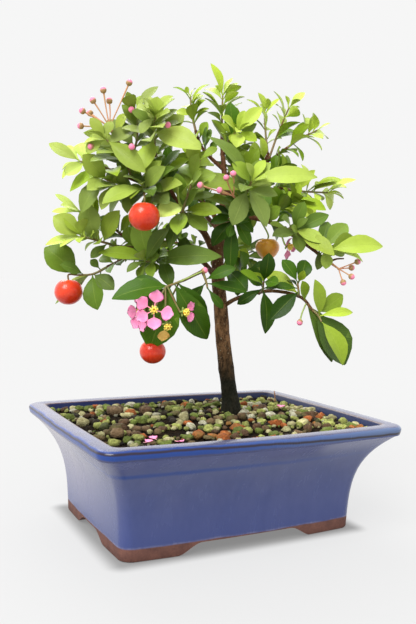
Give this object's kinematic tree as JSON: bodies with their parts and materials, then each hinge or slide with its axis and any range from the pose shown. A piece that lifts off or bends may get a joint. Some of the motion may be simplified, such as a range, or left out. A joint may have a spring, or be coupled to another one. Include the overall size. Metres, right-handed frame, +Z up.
{
  "type": "potted bonsai tree",
  "caption": "Small fruiting cherry bonsai with opposite leaves, red fruits and pink flowers, standing in a flared rectangular glazed pot on corner feet.",
  "frame": {"origin": "middle of the base of the box around the whole object, at the height of the undersides of the feet", "axes": "+Z up from the feet to the crown, X along the pot's long sides, -Y out of the front long side"},
  "size_m": [0.2218, 0.2112, 0.315],
  "materials": {
    "blue_glaze": "glossy",
    "pumice_soil": "rough",
    "bark": "rough",
    "leaf": "satin",
    "petal": "soft",
    "stamen": "soft",
    "bud": "soft",
    "ripe_fruit": "glossy",
    "unripe_fruit": "glossy",
    "screen_plastic": "matte"
  },
  "bodies": {
    "root": {"buds_centre": "bud", "buds_left": "bud", "buds_right": "bud", "cherry_front": "ripe_fruit", "cherry_left": "ripe_fruit", "cherry_low": "ripe_fruit", "cherry_ochre": "unripe_fruit", "flower_front": "petal", "flower_front_stamens": "stamen", "flower_left": "petal", "flower_left_stamens": "stamen", "flower_low": "petal", "flower_low_stamens": "stamen", "flower_right": "petal", "flower_right_stamens": "stamen", "flower_spent": "petal", "flower_spent_stamens": "stamen", "pot": "blue_glaze", "screen_left": "screen_plastic", "screen_right": "screen_plastic", "soil": "pumice_soil", "spray_back_left": "leaf", "spray_bright": "leaf", "spray_centre": "leaf", "spray_cherry_left": "leaf", "spray_crown": "leaf", "spray_flowers": "leaf", "spray_fork_top": "leaf", "spray_front_low": "leaf", "spray_fruit_front": "leaf", "spray_inner_front": "leaf", "spray_inner_left": "leaf", "spray_inner_right": "leaf", "spray_left_green": "leaf", "spray_left_mid": "leaf", "spray_left_shoot": "leaf", "spray_left_thin": "leaf", "spray_left_upper": "leaf", "spray_low_left_back": "leaf", "spray_low_right_in": "leaf", "spray_low_right_mid": "leaf", "spray_low_right_tip": "leaf", "spray_mid_pale": "leaf", "spray_rear_left": "leaf", "spray_rear_low": "leaf", "spray_rear_right": "leaf", "spray_rear_top": "leaf", "spray_right_fork": "leaf", "spray_right_inner": "leaf", "spray_right_mid": "leaf", "spray_right_pale": "leaf", "spray_right_top": "leaf", "spray_right_upper": "leaf", "spray_shoulder": "leaf", "spray_top_back": "leaf", "spray_top_left": "leaf", "spray_upper_back": "leaf", "spray_upper_left": "leaf", "spray_upright": "leaf", "trunk": "bark"}
  },
  "joints": []
}
